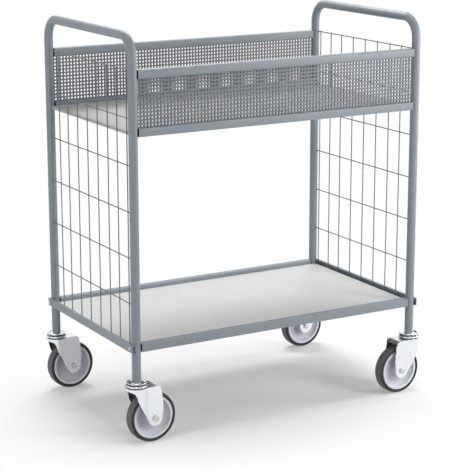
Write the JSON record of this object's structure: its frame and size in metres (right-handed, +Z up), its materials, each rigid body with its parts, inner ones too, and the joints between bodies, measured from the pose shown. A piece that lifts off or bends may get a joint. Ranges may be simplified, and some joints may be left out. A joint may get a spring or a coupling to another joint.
{
  "type": "shelf trolley",
  "caption": "Shelf trolley with tubular end frames and handles, wire-grid ends, a basket-style upper shelf with perforated sides, a rimmed lower shelf and swivel castors.",
  "frame": {"origin": "centre of the footprint on the floor, under the wheels", "axes": "+X along the long side from the left end to the right end, +Y from the front to the back, +Z up"},
  "size_m": [0.856, 0.5264, 0.9897],
  "materials": {
    "powder_coat": "blue-grey powder coat, satin",
    "board_laminate": "light grey laminate on a thin board",
    "zinc": "bright zinc plate",
    "wheel_plastic": "grey moulded plastic",
    "tyre_rubber": "dark grey rubber, matt"
  },
  "bodies": {
    "frame": {"end_frame_left": "powder_coat", "end_frame_right": "powder_coat", "end_mesh_left": "powder_coat", "end_mesh_right": "powder_coat", "basket_top_rail_front": "powder_coat", "basket_top_rail_back": "powder_coat", "basket_bottom_rail_front": "powder_coat", "basket_bottom_rail_back": "powder_coat", "perforated_panel_front": "powder_coat", "perforated_panel_back": "powder_coat", "lower_rail_front": "powder_coat", "lower_rail_back": "powder_coat", "lower_end_rail_left": "powder_coat", "lower_end_rail_right": "powder_coat", "post_plug_front_left_low": "powder_coat", "post_plug_front_left_high": "powder_coat", "post_plug_rear_left_low": "powder_coat", "post_plug_rear_left_high": "powder_coat", "post_plug_front_right_low": "powder_coat", "post_plug_front_right_high": "powder_coat", "post_plug_rear_right_low": "powder_coat", "post_plug_rear_right_high": "powder_coat", "upper_board": "board_laminate", "lower_board": "board_laminate", "rail_bolt_front_left": "zinc", "rail_bolt_rear_left": "zinc", "rail_bolt_front_right": "zinc", "rail_bolt_rear_right": "zinc", "castor_head_front_left": "zinc", "castor_head_rear_left": "zinc", "castor_head_front_right": "zinc", "castor_head_rear_right": "zinc"},
    "fork_front_left": {"bearing_ring_front_left": "zinc", "castor_fork_front_left": "zinc", "axle_bolt_front_left": "zinc", "axle_nut_front_left": "zinc"},
    "wheel_front_left": {"wheel_rim_front_left": "wheel_plastic", "wheel_tyre_front_left": "tyre_rubber"},
    "fork_rear_left": {"bearing_ring_rear_left": "zinc", "castor_fork_rear_left": "zinc", "axle_bolt_rear_left": "zinc", "axle_nut_rear_left": "zinc"},
    "wheel_rear_left": {"wheel_rim_rear_left": "wheel_plastic", "wheel_tyre_rear_left": "tyre_rubber"},
    "fork_front_right": {"bearing_ring_front_right": "zinc", "castor_fork_front_right": "zinc", "axle_bolt_front_right": "zinc", "axle_nut_front_right": "zinc"},
    "wheel_front_right": {"wheel_rim_front_right": "wheel_plastic", "wheel_tyre_front_right": "tyre_rubber"},
    "fork_rear_right": {"bearing_ring_rear_right": "zinc", "castor_fork_rear_right": "zinc", "axle_bolt_rear_right": "zinc", "axle_nut_rear_right": "zinc"},
    "wheel_rear_right": {"wheel_rim_rear_right": "wheel_plastic", "wheel_tyre_rear_right": "tyre_rubber"}
  },
  "joints": [
    {"name": "swivel_front_left", "type": "hinge", "parent": "frame", "child": "fork_front_left", "pos_m": [-0.4, -0.233, 0.15], "axis": [0, 0, 1], "continuous": true},
    {"name": "wheel_spin_front_left", "type": "hinge", "parent": "fork_front_left", "child": "wheel_front_left", "pos_m": [-0.36205, -0.23101, 0.0625], "axis": [-0.0523, 0.9986, 0], "continuous": true},
    {"name": "swivel_rear_left", "type": "hinge", "parent": "frame", "child": "fork_rear_left", "pos_m": [-0.4, 0.233, 0.15], "axis": [0, 0, 1], "continuous": true},
    {"name": "wheel_spin_rear_left", "type": "hinge", "parent": "fork_rear_left", "child": "wheel_rear_left", "pos_m": [-0.36205, 0.23499, 0.0625], "axis": [-0.0523, 0.9986, 0], "continuous": true},
    {"name": "swivel_front_right", "type": "hinge", "parent": "frame", "child": "fork_front_right", "pos_m": [0.4, -0.233, 0.15], "axis": [0, 0, 1], "continuous": true},
    {"name": "wheel_spin_front_right", "type": "hinge", "parent": "fork_front_right", "child": "wheel_front_right", "pos_m": [0.36205, -0.23499, 0.0625], "axis": [0.0523, -0.9986, 0], "continuous": true},
    {"name": "swivel_rear_right", "type": "hinge", "parent": "frame", "child": "fork_rear_right", "pos_m": [0.4, 0.233, 0.15], "axis": [0, 0, 1], "continuous": true},
    {"name": "wheel_spin_rear_right", "type": "hinge", "parent": "fork_rear_right", "child": "wheel_rear_right", "pos_m": [0.36205, 0.23101, 0.0625], "axis": [0.0523, -0.9986, 0], "continuous": true}
  ]
}
